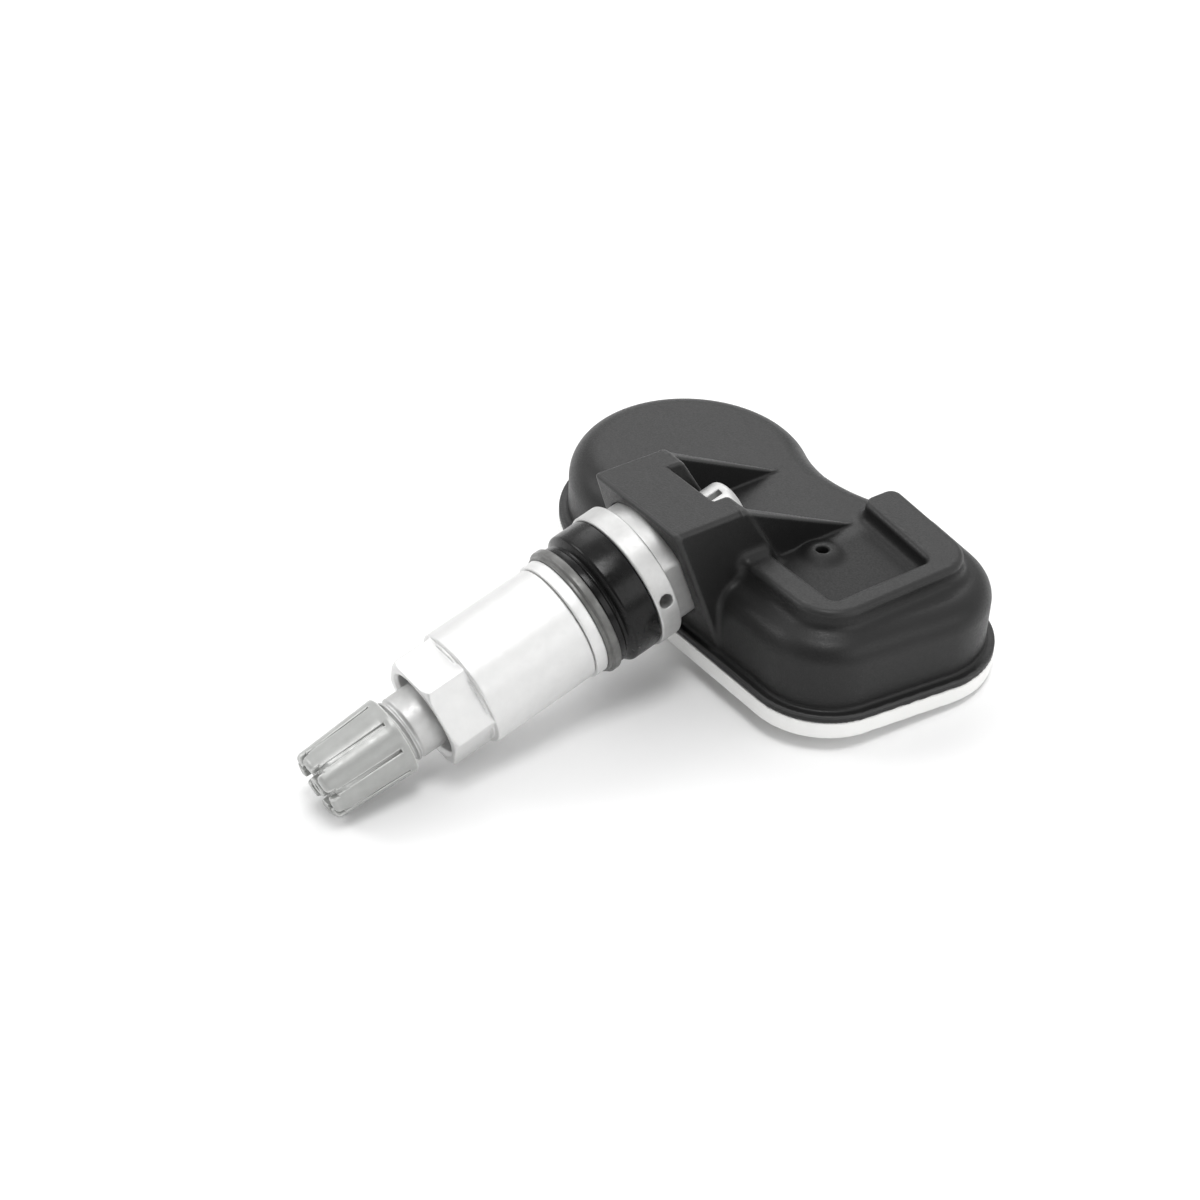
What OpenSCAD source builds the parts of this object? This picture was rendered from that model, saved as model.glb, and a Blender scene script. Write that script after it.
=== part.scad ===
// Clamp-in tyre pressure sensor: a moulded case with a round battery end and a squared
// antenna end, on a metal valve that is clamped through the wheel rim.
// Everything is drawn square to the case, with the origin on the valve axis at the face
// of the collar, and is then laid down on its cap and the back edge of its base plate.

/* [Case outline] */
// Radial width of the round end outside the battery cell, at the base plate
round_r = 4.05; // [3.55:0.05:5.25]
// Centre of the round end, left of the valve
round_x = 16.3; // [15:0.1:18]
// Front edge of the base plate, behind the collar face
front_y = 7; // [6.6:0.1:8]
// Radius of the front corner at the squared end
front_corner_r = 9.4; // [7:0.1:10]
// Radius of the back corner at the squared end
back_corner_r = 11.3; // [9:0.1:12]
// Centre of the front corner, right of the valve
front_corner_x = 17.8; // [16:0.1:20]
// Distance from the front edge to the centre of the back corner
back_corner_y = 21.3; // [20:0.1:23]
// Slant of the squared end's outer edge
end_slant = 6.9; // [0:0.1:8]
// Radius of the corner beside the waist
shoulder_r = 7; // [6.5:0.1:8]
// Length of the back edge between its two corners
back_edge = 7; // [4:0.1:9]
// Radius of the hollow waist between the two ends
waist_r = 18; // [15:0.5:24]

/* [Case heights] */
// Top of the case above the valve axis at the collar
case_top = 1.3; // [0.8:0.1:2.5]
// Underside of the base plate below the valve axis at the collar
plate_low = 10.6; // [10.2:0.1:11.5]
// Thickness of the base plate
plate_t = 2.3; // [1.8:0.1:2.8]
// Thickness of the flange round the foot of the case
flange_t = 0.9; // [0.6:0.1:1.4]
// Overhang of the flange outside the wall
flange_over = 1.15; // [0.8:0.05:1.5]
// Wall of the case
wall = 1.2; // [1:0.05:1.5]
// Round along the top edge of the case
edge_r = 4.3; // [3:0.1:4.4]

/* [Valve block] */
// Half width of the block at its top
block_half = 7.84; // [7.7:0.02:9]
// Top of the block above the valve axis at the collar
block_top = 9.86; // [9.3:0.02:10.5]
// Front of the block at its top, behind the collar face
block_front = 2; // [1.9:0.05:2.6]
// Lean of the block's front face
block_lean = 20; // [17:0.5:21]
// Widening of the block for each millimetre of drop
block_draft = 0.08; // [0:0.01:0.12]
// Back of the block at its top, behind the collar face
block_back = 12.1; // [11:0.1:13]
// Front of the pocket between the block's arms
pocket_front = 10; // [9.5:0.1:10.5]
// Half width of the pocket
pocket_half = 4.1; // [3.9:0.1:4.4]
// Round along the block's edges
block_edge = 0.9; // [0.3:0.1:1.2]
// Thickness of a gusset at the block
gusset_t = 1.5; // [1:0.1:2]
// Foot of the gussets, behind the collar face
gusset_foot = 29; // [26:0.1:30]

/* [Ridge and port] */
// Height of the U-shaped ridge
ridge_h = 2.5; // [1.5:0.1:3]
// Width of the ridge's front arm
ridge_front_w = 3.9; // [3:0.1:4.5]
// Width of the ridge's end arm
ridge_end_w = 3.1; // [2.4:0.1:3.6]
// Width of the ridge's back arm
ridge_back_w = 4.9; // [3.6:0.1:5.4]
// Outer face of the ridge's front arm, behind the collar face
ridge_front_y = 11; // [10.8:0.1:12]
// Outer face of the ridge's end arm, right of the valve
ridge_end_x = 23.1; // [22:0.1:23.6]
// Outer face of the ridge's back arm, behind the collar face
ridge_back_y = 34; // [33:0.1:34.5]
// Left end of the ridge's back arm
ridge_stop_x = 6.3; // [5:0.1:8]
// Outer corner radius of the ridge
ridge_corner = 3.6; // [2.6:0.1:5]
// Pressure port, right of the valve
port_x = 9.9; // [9.4:0.1:11]
// Pressure port, behind the collar face
port_y = 22; // [20.5:0.1:24]
// Bore of the pressure port
port_d = 1.5; // [1:0.1:2]
// Diameter of the boss round the port
port_boss_d = 5; // [4:0.1:5.4]
// Height of the boss round the port
port_boss_h = 0.8; // [0.5:0.1:1.2]

/* [Valve] */
// Pitch of the valve, tip down
pitch = 16.7; // [15.5:0.1:18]
// Radius of the collar
collar_r = 8.53; // [8.3:0.01:8.8]
// Width of the collar
collar_w = 2.72; // [2.2:0.02:3]
// Diameter of the tommy-bar hole in the collar
collar_hole_d = 1.7; // [1.2:0.1:2]
// Radius of the shoulder behind the collar
shoulder_seat_r = 7.5; // [7:0.05:7.6]
// Half distance across the shoulder's flats
shoulder_flat = 6.4; // [6:0.1:6.8]
// Back face of the shoulder, behind the collar face
shoulder_end = 6.6; // [6.3:0.05:7]
// Radius of the tail that goes through the block
tail_r = 3.2; // [2.8:0.05:3.5]
// Length of the tail behind the collar face
tail_end = 17; // [16:0.1:18]
// Radius of the threaded shank inside the nut
shank_r = 4.1; // [3.95:0.05:4.3]
// End of the threaded shank, in front of the collar face
shank_end = 25.5; // [24.5:0.1:26.5]
// Radius of the slimmer neck with the cap thread
neck_r = 3.85; // [3.6:0.01:3.9]
// Tip of the valve, in front of the collar face
stem_tip = 38.2; // [37.6:0.1:38.6]
// Radius of the air bore
air_r = 1.5; // [1.2:0.1:1.8]
// Radius of the bore for the valve core
core_bore_r = 2.65; // [2.5:0.01:2.8]
// Depth of the valve core's bore from the tip
core_bore_depth = 14; // [13:0.1:15]

/* [Clamping stack] */
// Length of the rubber grommet
grommet_w = 5.42; // [5:0.01:6]
// Radius of the rubber grommet at the collar
grommet_r = 8.27; // [8:0.01:8.4]
// Thickness of the ring in front of the grommet
ring_w = 1.47; // [1.2:0.01:1.8]
// Radius of the ring in front of the grommet
ring_r = 7.98; // [7.6:0.01:8.2]
// Thickness of the washer under the nut
washer_w = 1.5; // [1.2:0.01:1.8]
// Radius of the washer under the nut
washer_r = 7.36; // [7.2:0.01:7.6]
// Radius of the nut's round sleeve
sleeve_r = 7.1; // [7:0.01:7.3]
// Length of the nut's round sleeve
sleeve_w = 13.53; // [12.5:0.01:14]
// Width of the nut's hexagon across its flats
hex_flats = 12; // [11.8:0.1:12.4]
// Length of the nut's hexagon
hex_w = 5.2; // [4.6:0.1:5.4]
// Radius of the counterbore in the end of the nut
nut_mouth_r = 5.1; // [4.95:0.05:5.2]
// Depth of the counterbore in the end of the nut
nut_mouth = 4.2; // [3.5:0.1:4.4]
// Distance that the nut can be unscrewed before it meets the cap
nut_travel = 5; // [3:0.1:5.5]

/* [Cap] */
// Open end of the cap, in front of the collar face
cap_rim = 31; // [30.6:0.1:31.4]
// Length of the cap beyond the tip of the valve
cap_w = 3; // [2.6:0.1:3.4]
// Radius of the cap's body at its open end
cap_rim_r = 4.45; // [4.35:0.01:4.5]
// Radius of the cap's body at its closed end
cap_tip_r = 3.95; // [3.8:0.01:4.1]
// Number of grip ribs round the cap
cap_ribs = 8; // [6:1:12]
// Height of the cap's grip ribs
cap_rib_h = 0.25; // [0.15:0.05:0.3]
// Width of the cap's grip ribs
cap_rib_w = 0.9; // [0.6:0.1:1.2]
// Thickness of the sealing ring in the cap
gasket_w = 0.8; // [0.6:0.1:1]

/* [Inside] */
// Thickness of the circuit board
board_t = 1; // [0.8:0.1:1.2]
// Top of the circuit board below the valve axis at the collar
board_top = 2.4; // [2.2:0.1:2.6]
// Diameter of the button cell
cell_d = 24.5; // [23:0.1:24.5]
// Thickness of the button cell
cell_t = 3.6; // [3:0.1:3.8]
// Thickness of the cell's welded tabs
tab_t = 0.2; // [0.15:0.05:0.3]
// Height of the pressure sensor
sensor_h = 1.7; // [1.2:0.1:1.8]
// Width of the pressure sensor
sensor_w = 5; // [4.5:0.1:5.5]

/* [Clearances] */
// Running clearance on a radius
run = 0.05; // [0.03:0.01:0.08]
// Gap between pieces that don't fit into each other
gap = 0.15; // [0.1:0.05:0.25]

/* [Hidden] */
$fn = 64;

// Far enough to cut right through any piece
beyond = 60;

function unit(a) = [cos(a), sin(a)];
function angle_of(v) = atan2(v[1], v[0]);

// Centres and turning points of the case outline, taken anticlockwise
end_r = cell_d / 2 + round_r;
round_c = [-round_x, front_y + end_r];
front_c = [front_corner_x, front_y + front_corner_r];
end_offset = front_c * unit(-end_slant) + front_corner_r;
back_c_y = front_y + back_corner_y;
back_c = [
    (end_offset - back_corner_r + sin(end_slant) * back_c_y) / cos(end_slant),
    back_c_y
];
back_angle = 90 - end_slant;
shoulder_c = back_c + (back_corner_r - shoulder_r) * unit(back_angle)
    + back_edge * unit(back_angle + 90);

// The waist's arc touches the round end and the shoulder from outside
waist_base = shoulder_c - round_c;
waist_span = norm(waist_base);
waist_near = end_r + waist_r;
waist_far = shoulder_r + waist_r;
waist_along = (waist_near ^ 2 - waist_far ^ 2 + waist_span ^ 2) / (2 * waist_span);
waist_c = round_c + waist_along * waist_base / waist_span
    + sqrt(waist_near ^ 2 - waist_along ^ 2) * unit(angle_of(waist_base) + 90);

// Each outer corner of the outline: centre, radius, first and last angle
corners = [
    [round_c, end_r, angle_of(waist_c - round_c), 270],
    [front_c, front_corner_r, -90, -end_slant],
    [back_c, back_corner_r, -end_slant, back_angle],
    [shoulder_c, shoulder_r, back_angle, angle_of(waist_c - shoulder_c)]
];
// Turn between two points on an arc of the outline
arc_step = 7.5;

plate_top = plate_t - plate_low;
flange_top = plate_top + flange_t;

// Places along the valve, forward from the collar face
ring_s = grommet_w;
washer_s = ring_s + ring_w;
nut_s = washer_s + washer_w;
hex_s = nut_s + sleeve_w;
nut_end = hex_s + hex_w;
cap_tip = stem_tip + cap_w;
cap_length = cap_tip - cap_rim;
core_bore_s = stem_tip - core_bore_depth;
gasket_r = neck_r - gap;
seat_gap = 0.02;
pin_sunk = 0.5;
pin_tip = stem_tip - pin_sunk;

// Lying down: the cap's tip and the back edge of the plate touch one level surface
cap_low = -(cap_tip * sin(pitch) + cap_tip_r * cos(pitch));
cap_low_y = -cap_tip * cos(pitch) + cap_tip_r * sin(pitch);
plate_soft = 0.35;
back_low_y = round_c[1] + end_r - plate_soft;
rest_tilt = atan2(-plate_low - cap_low, back_low_y - cap_low_y);

module laid_down() {
    rotate([-rest_tilt, 0, 0]) children();
}

// Turns a piece drawn along +Z to lie along the valve, forward from the collar face
module on_valve(s = 0) {
    rotate([90 + pitch, 0, 0]) translate([0, 0, s]) children();
}

// A ring with its two radii, drawn up from the ground
module ring(outer, inner, height) {
    difference() {
        cylinder(r = outer, h = height);
        translate([0, 0, -1]) cylinder(r = inner, h = height + 2);
    }
}

// Points along an arc, from its first angle to its last
function arc(centre, radius, from, to) =
    let (n = max(2, ceil(abs(to - from) / arc_step)))
    [for (k = [0:n]) centre + radius * unit(from + (to - from) * k / n)];

function inner_points(list) = [for (i = [1:len(list) - 2]) list[i]];

// The case outline, moved inwards by inset, taken anticlockwise
function outline(inset) = concat(
    [for (c = corners) each arc(c[0], c[1] - inset, c[2], c[3])],
    inner_points(arc(
        waist_c, waist_r + inset,
        angle_of(shoulder_c - waist_c), angle_of(round_c - waist_c)
    ))
);

module outline_plate(inset, low, top) {
    translate([0, 0, low]) linear_extrude(top - low) polygon(outline(inset));
}

// Inset and height of each level round the top edge of a wall, from the wall inwards
function edge_levels(inset, top, round, steps) = [
    for (k = [0:steps])
        let (a = 90 * k / steps)
        [inset + round * (1 - cos(a)), top - round * (1 - sin(a))]
];

function reversed(list) = [for (i = [len(list) - 1:-1:0]) list[i]];

// The case as one open shell: down its inside, round the flange and up its outside
case_levels = concat(
    reversed(edge_levels(flange_over + wall, case_top - wall, edge_r - wall, 3)),
    [
        [flange_over + wall, plate_top],
        [0, plate_top],
        [0, flange_top],
        [flange_over, flange_top]
    ],
    edge_levels(flange_over, case_top, edge_r, 6)
);

// A point from which every side of the outline can be seen
middle = [0, front_y + 0.6 * end_r];

// A closed solid through a list of levels, each the outline at its own inset
module outline_solid(levels) {
    n = len(outline(0));
    last = len(levels) - 1;
    first_middle = (last + 1) * n;
    polyhedron(
        points = concat(
            [for (level = levels) for (p = outline(level[0])) [p[0], p[1], level[1]]],
            [for (level = [levels[0], levels[last]]) [middle[0], middle[1], level[1]]]
        ),
        faces = [
            for (i = [0:n - 1]) let (j = (i + 1) % n) each concat(
                [[first_middle, i, j], [first_middle + 1, last * n + j, last * n + i]],
                [for (k = [0:last - 1]) [k * n + i, (k + 1) * n + i, (k + 1) * n + j, k * n + j]]
            )
        ]
    );
}

// A closed outline whose corners are rounded, each [x, y, radius] taken anticlockwise
module rounded_outline(points) {
    polygon([
        for (i = [0:len(points) - 1])
            for (p = corner_arc(points, i)) p
    ]);
}

function corner_arc(points, i, steps = 6) =
    let (
        n = len(points),
        here = [points[i][0], points[i][1]],
        before = [points[(i + n - 1) % n][0], points[(i + n - 1) % n][1]],
        after = [points[(i + 1) % n][0], points[(i + 1) % n][1]],
        a = (before - here) / norm(before - here),
        b = (after - here) / norm(after - here),
        half = acos(a * b) / 2,
        middle = (a + b) / norm(a + b),
        r = points[i][2],
        centre = here + middle * r / sin(half),
        turn = 180 - 2 * half,
        facing = angle_of(-middle),
        way = a[0] * b[1] - a[1] * b[0] < 0 ? 1 : -1
    )
    r == 0 ? [here]
        : [for (k = [0:steps]) centre + r * unit(facing + way * turn * (k / steps - 0.5))];

// Block that holds the valve: side, front and plan outlines taken together
block_low = flange_top - 0.3;
block_drop = block_top - block_low;
block_foot = block_half + block_draft * block_drop;
front_foot = block_front + block_drop * tan(block_lean);
arm_foot = block_back + (block_top - case_top) * 0.62;
// Inside the case, the block ends in a boss that closes the hole for the valve's tail
boss_low = -board_top;
boss_back = 13.5;

module block_side_view() {
    within_wall = front_y + flange_over + wall / 2;
    sunk = case_top - wall / 2;
    rotate([90, 0, 90]) linear_extrude(2 * block_foot + 2, center = true)
        rounded_outline([
            [front_foot, block_low, 0],
            [within_wall, block_low, 0],
            [within_wall, boss_low, 0],
            [boss_back, boss_low, 0],
            [boss_back, sunk, 0],
            [arm_foot, sunk, 0],
            [block_back, block_top, block_edge / 2],
            [block_front, block_top, block_edge]
        ]);
}

module block_front_view() {
    translate([0, beyond, 0]) rotate([90, 0, 0]) linear_extrude(2 * beyond)
        rounded_outline([
            [-block_foot, block_low, 0],
            [block_foot, block_low, 0],
            [block_half, block_top, block_edge],
            [-block_half, block_top, block_edge]
        ]);
}

module block() {
    difference() {
        intersection() {
            block_side_view();
            block_front_view();
        }
        // Pocket between the two arms, open to the back
        translate([-pocket_half, pocket_front, case_top])
            cube([2 * pocket_half, beyond, beyond]);
    }
}

// Blade that runs down from an arm to the top of the case
module gusset(side) {
    reach = 0.6;
    drop = 0.45;
    sunk = 0.7;
    foot_w = 0.3;
    root = block_half - 0.05;
    slope = (block_top - drop - case_top) / (gusset_foot - block_back);
    intersection() {
        rotate([90, 0, 90]) linear_extrude(beyond, center = true)
            polygon([
                [block_back - reach, case_top - sunk],
                [gusset_foot + sunk / slope, case_top - sunk],
                [block_back - reach, block_top - drop + reach * slope]
            ]);
        translate([0, 0, case_top - 1]) linear_extrude(block_top - case_top + 1)
            polygon([
                [side * root, block_back - reach - 1],
                [side * (root - gusset_t), block_back - reach - 1],
                [side * (root - 0.75 * gusset_t), gusset_foot + 3],
                [side * (root - 0.75 * gusset_t + foot_w), gusset_foot + 3]
            ]);
    }
}

// Ridge in the form of a U, open towards the valve block
ridge_slope = tan(end_slant);

module ridge() {
    inner_front = ridge_front_y + ridge_front_w;
    inner_end = ridge_end_x - ridge_end_w;
    inner_back = ridge_back_y - ridge_back_w;
    fall = ridge_slope * (ridge_end_x - ridge_stop_x);
    start_x = block_half - 1;
    translate([0, 0, case_top - 1]) linear_extrude(ridge_h + 1)
        rounded_outline([
            [start_x, ridge_front_y, 0],
            [ridge_end_x, ridge_front_y, ridge_corner],
            [ridge_end_x, ridge_back_y, ridge_corner],
            [ridge_stop_x, ridge_back_y + fall, 1.6],
            [ridge_stop_x, inner_back + fall, 1.6],
            [inner_end, inner_back, 0.8],
            [inner_end, inner_front, 0.8],
            [start_x, inner_front, 0]
        ]);
}

module port_boss() {
    translate([port_x, port_y, case_top])
        cylinder(d1 = port_boss_d, d2 = port_boss_d - 2.4 * port_boss_h, h = port_boss_h);
}

module upper_case() {
    color([0.13, 0.13, 0.14]) laid_down() difference() {
        // The moulding is joined as one skin, and the fits are cut true in it
        resize([0, 0, 0]) union() {
            outline_solid(case_levels);
            block();
            for (side = [-1, 1]) gusset(side);
            ridge();
            port_boss();
        }
        // Seat for the valve's shoulder, with its two flats, and the way out for its tail
        on_valve(-shoulder_end) intersection() {
            cylinder(r = shoulder_seat_r + run, h = beyond);
            cube([2 * (shoulder_flat + run), beyond, 2 * beyond], center = true);
        }
        on_valve(-tail_end) cylinder(r = tail_r + run, h = beyond);
        translate([port_x, port_y, case_top - wall - 1]) cylinder(d = port_d, h = beyond);
    }
}

// Lip on the base plate that centres the case
lip_h = 1;
lip_t = 1;

module base_plate() {
    lip_in = flange_over + wall + gap;
    color([0.9, 0.9, 0.89]) laid_down() {
        outline_solid([
            [plate_soft, -plate_low],
            [0.3 * plate_soft, 0.3 * plate_soft - plate_low],
            [0, plate_soft - plate_low],
            [0, plate_top]
        ]);
        difference() {
            outline_plate(lip_in, plate_top - 0.1, plate_top + lip_h);
            outline_plate(lip_in + lip_t, plate_top - 1, plate_top + lip_h + 1);
        }
    }
}

module valve_stem() {
    color([0.8, 0.8, 0.8]) laid_down() difference() {
        union() {
            on_valve(-collar_w) collar();
            on_valve(-shoulder_end) intersection() {
                cylinder(r = shoulder_seat_r, h = shoulder_end - 0.5);
                cube([2 * shoulder_flat, beyond, 2 * beyond], center = true);
            }
            on_valve(-tail_end) cylinder(r = tail_r, h = tail_end);
            on_valve(-1) cylinder(r = shank_r, h = shank_end + 1);
            on_valve(shank_end) cylinder(r1 = shank_r, r2 = neck_r, h = 0.3);
            on_valve(shank_end) cylinder(r = neck_r, h = stem_tip - shank_end - 0.3);
            on_valve(stem_tip - 0.3) cylinder(r1 = neck_r, r2 = neck_r - 0.3, h = 0.3);
        }
        // Air bore, with the wider bore for the valve core at the tip
        on_valve(-tail_end - 1) cylinder(r = air_r, h = beyond);
        on_valve(core_bore_s) cylinder(r = core_bore_r, h = beyond);
        // Hole for a tommy bar, through one side of the collar
        on_valve(-collar_w / 2) rotate([0, 0, 12]) rotate([0, 90, 0]) translate([0, 0, shank_r + 1])
            cylinder(d = collar_hole_d, h = beyond);
        // Slot across the tail's end
        on_valve(-tail_end) cube([1, 3 * tail_r, 4], center = true);
    }
}

module collar() {
    chamfer = 0.25;
    cylinder(r = collar_r, h = collar_w - chamfer);
    translate([0, 0, collar_w - chamfer])
        cylinder(r1 = collar_r, r2 = collar_r - chamfer, h = chamfer);
}

module rim_grommet() {
    lip = 1.3;
    groove = 0.6;
    body_w = grommet_w - lip - groove;
    color([0.08, 0.08, 0.08]) laid_down() on_valve() rotate_extrude() difference() {
        union() {
            square([grommet_r, body_w - 0.4]);
            square([grommet_r - 0.35, body_w]);
            square([ring_r - 0.9, grommet_w]);
            translate([0, body_w + groove]) square([ring_r - 0.35, lip]);
        }
        translate([-1, -1]) square([shank_r + gap + 1, grommet_w + 2]);
    }
}

module grommet_ring() {
    step = 0.5;
    color([0.66, 0.66, 0.65]) laid_down() on_valve(ring_s) rotate_extrude() difference() {
        union() {
            square([ring_r, ring_w - step]);
            square([ring_r - 0.35, ring_w]);
        }
        translate([-1, -1]) square([shank_r + gap + 1, ring_w + 2]);
    }
}

module thrust_washer() {
    color([0.86, 0.86, 0.85]) laid_down() on_valve(washer_s)
        ring(washer_r, shank_r + gap, washer_w);
}

module clamp_nut() {
    face = 0.05;
    hex_r = hex_flats / sqrt(3);
    step_r = hex_flats / 2 + 0.35;
    chamfer = 0.6;
    color([0.9, 0.9, 0.9]) laid_down() on_valve(nut_s + face) difference() {
        union() {
            cylinder(r = sleeve_r, h = sleeve_w - face - 0.3);
            translate([0, 0, sleeve_w - face - 0.3])
                cylinder(r1 = sleeve_r, r2 = sleeve_r - 0.3, h = 0.3);
            translate([0, 0, sleeve_w - face]) cylinder(r = step_r, h = 0.3);
            translate([0, 0, sleeve_w - face]) intersection() {
                cylinder(r = hex_r, h = hex_w, $fn = 6);
                cylinder(r1 = hex_r + hex_w - chamfer, r2 = hex_r - chamfer, h = hex_w);
            }
        }
        translate([0, 0, -1]) cylinder(r = shank_r + run, h = beyond);
        translate([0, 0, nut_end - nut_s - face - nut_mouth]) cylinder(r = nut_mouth_r, h = beyond);
        // Hollow skirt over the grommet side of the thread
        translate([0, 0, -1]) cylinder(r = shank_r + 1, h = 3);
    }
}

module dust_cap() {
    bore = stem_tip + seat_gap + gasket_w - cap_rim;
    crown = 0.8;
    color([0.68, 0.68, 0.67]) laid_down() on_valve(cap_rim) difference() {
        union() {
            cylinder(r1 = cap_rim_r, r2 = cap_tip_r, h = cap_length);
            for (i = [0:cap_ribs - 1]) rotate([0, 0, (i + 0.5) * 360 / cap_ribs]) cap_rib();
        }
        translate([0, 0, -1]) cylinder(r = neck_r + run, h = bore + 1);
        // Sunk ring in the closed end, round a small boss
        translate([0, 0, cap_length - crown]) ring(cap_tip_r - 1.2, 1.1, 2);
        for (i = [0:cap_ribs - 1]) rotate([0, 0, i * 360 / cap_ribs])
            translate([2, -0.35, cap_length - crown]) cube([beyond, 0.7, 2]);
    }
}

module cap_rib() {
    rotate([90, 0, 0]) linear_extrude(cap_rib_w, center = true) polygon([
        [neck_r + 0.2, 0],
        [cap_rim_r + cap_rib_h, 0.6],
        [cap_tip_r + cap_rib_h, cap_length - 0.6],
        [cap_tip_r - 0.3, cap_length],
        [neck_r - 0.3, cap_length - 1]
    ]);
}

module cap_gasket() {
    color([0.2, 0.2, 0.2]) laid_down() on_valve(stem_tip + seat_gap)
        ring(gasket_r, air_r + 0.5, gasket_w);
}

// Valve core: a fixed body in the stem's tip, and a sprung pin with a seal at its foot
core_sunk = 1.2;
core_top = stem_tip - core_sunk;
spring_room = 5;
core_low = core_bore_s + spring_room;
core_head = 3;
core_slim = 0.75;
core_pin_r = 0.45;
pin_room = 0.5;
poppet_w = 1.4;

module core_body() {
    color([0.78, 0.62, 0.3]) laid_down() difference() {
        union() {
            on_valve(core_top - core_head) cylinder(r = core_bore_r, h = core_head);
            on_valve(core_low) cylinder(r = core_bore_r - core_slim, h = core_top - core_low);
        }
        on_valve(core_low - 1) cylinder(r = core_pin_r + pin_room, h = beyond);
    }
}

module core_seal() {
    color([0.1, 0.1, 0.1]) laid_down() on_valve(core_low + 2)
        ring(core_bore_r - 0.02, core_bore_r - core_slim, 1.6);
}

module core_pin() {
    foot = core_low - poppet_w - 3.2;
    color([0.75, 0.75, 0.72]) laid_down() {
        on_valve(foot) cylinder(r = core_pin_r, h = pin_tip - foot);
        on_valve(foot) cylinder(r = 1.1, h = 0.4);
    }
}

module core_poppet() {
    color([0.15, 0.15, 0.15]) laid_down() on_valve(core_low - poppet_w - seat_gap)
        ring(core_bore_r - 0.7, core_pin_r, poppet_w);
}

// The spring bears on the step in the stem's bore and on the poppet
module core_spring() {
    wire = 0.25;
    turns = 5;
    low = core_bore_s;
    high = core_low - poppet_w - seat_gap;
    rise = (high - low - wire) / (turns - 1);
    color([0.6, 0.6, 0.6]) laid_down() for (i = [0:turns - 1])
        on_valve(low + wire / 2 + i * rise) rotate_extrude()
            translate([air_r + 0.3, 0]) circle(r = wire / 2, $fn = 24);
}

// Circuit board, cut to the case with clearance all round and round the valve's tail
board_inset = flange_over + wall + lip_t + 2 * gap;
board_low = -board_top - board_t;

module circuit_board() {
    color([0.05, 0.3, 0.14]) laid_down()
        outline_plate(board_inset, board_low, -board_top);
}

cell_top = board_low - tab_t - gap;
cell_step = 0.6;
tab_w = 6;
tab_reach = 2;
low_tab_w = 4;
low_tab_out = 0.8;

module battery_cell() {
    color([0.75, 0.75, 0.76]) laid_down()
        translate([round_c[0], round_c[1], cell_top - cell_t]) {
            cylinder(d = cell_d, h = cell_t - cell_step);
            translate([0, 0, cell_t - cell_step]) cylinder(d = cell_d - 5 * cell_step, h = cell_step);
        }
}

module battery_tab_top() {
    color([0.8, 0.78, 0.7]) laid_down()
        translate([round_c[0] - tab_reach, round_c[1] - tab_w / 2, cell_top])
            cube([cell_d / 2 + tab_reach, tab_w, tab_t]);
}

module battery_tab_bottom() {
    low = cell_top - cell_t - tab_t;
    far = cell_d / 2 + low_tab_out;
    color([0.8, 0.78, 0.7]) laid_down() translate([round_c[0], round_c[1] - low_tab_w / 2, low]) {
        translate([-tab_reach, 0, 0]) cube([far + tab_reach, low_tab_w, tab_t]);
        translate([far - tab_t, 0, 0]) cube([tab_t, low_tab_w, board_low - low - seat_gap]);
    }
}

module pressure_sensor() {
    color([0.15, 0.15, 0.16]) laid_down() difference() {
        translate([port_x - sensor_w / 2, port_y - sensor_w / 2, -board_top])
            cube([sensor_w, sensor_w, sensor_h]);
        translate([port_x, port_y, -board_top + sensor_h - 0.6]) cylinder(d = 1, h = 1);
    }
}

module port_seal() {
    low = sensor_h - board_top;
    color([0.3, 0.3, 0.3]) laid_down() translate([port_x, port_y, low])
        ring(port_d / 2 + 1.1, port_d / 2, case_top - wall - low);
}

// Ferrite aerial: a bar with a flange at each end, and the coil wound round the bar
ferrite_x = 19;
ferrite_y = 27;
ferrite_w = 10;
ferrite_t = 2;
ferrite_h = 1.4;
ferrite_lift = 0.2;
flange_w = 3;
flange_depth = 1.5;
flange_h = 1.9;
coil_t = 0.3;

module ferrite_bar() {
    translate([-ferrite_t / 2, -ferrite_w / 2, ferrite_lift])
        cube([ferrite_t, ferrite_w, ferrite_h]);
}

module ferrite_core() {
    end_y = (ferrite_w - flange_depth) / 2;
    color([0.25, 0.25, 0.27]) laid_down() translate([ferrite_x, ferrite_y, -board_top])
        union() {
            ferrite_bar();
            for (side = [-1, 1]) translate([-flange_w / 2, side * end_y - flange_depth / 2, 0])
                cube([flange_w, flange_depth, flange_h]);
        }
}

module ferrite_coil() {
    length = ferrite_w - 2 * (flange_depth + ferrite_lift);
    color([0.7, 0.4, 0.2]) laid_down() translate([ferrite_x, ferrite_y, -board_top])
        difference() {
            translate([-ferrite_t / 2 - coil_t, -length / 2, seat_gap])
                cube([ferrite_t + 2 * coil_t, length, 2 * ferrite_lift + ferrite_h]);
            ferrite_bar();
        }
}

// Parts soldered on the board, each a block on its own place
chip_x = 17;
chip_y = 15.5;
chip_w = 6;
chip_h = 1;
crystal_x = 11.5;
crystal_y = 28.5;
crystal_w = 3.2;
crystal_depth = 2.5;
small_h = 0.8;
capacitor_x = 21.1;
capacitor_y = 14;
capacitor_step = 1.6;
capacitor_w = 1.6;
capacitor_depth = 0.8;

module on_board(x, y, w, depth, h) {
    laid_down() translate([x - w / 2, y - depth / 2, -board_top]) cube([w, depth, h]);
}

module controller_chip() {
    color([0.12, 0.12, 0.12]) on_board(chip_x, chip_y, chip_w, chip_w, chip_h);
}

module crystal() {
    color([0.8, 0.8, 0.78]) on_board(crystal_x, crystal_y, crystal_w, crystal_depth, small_h);
}

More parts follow.
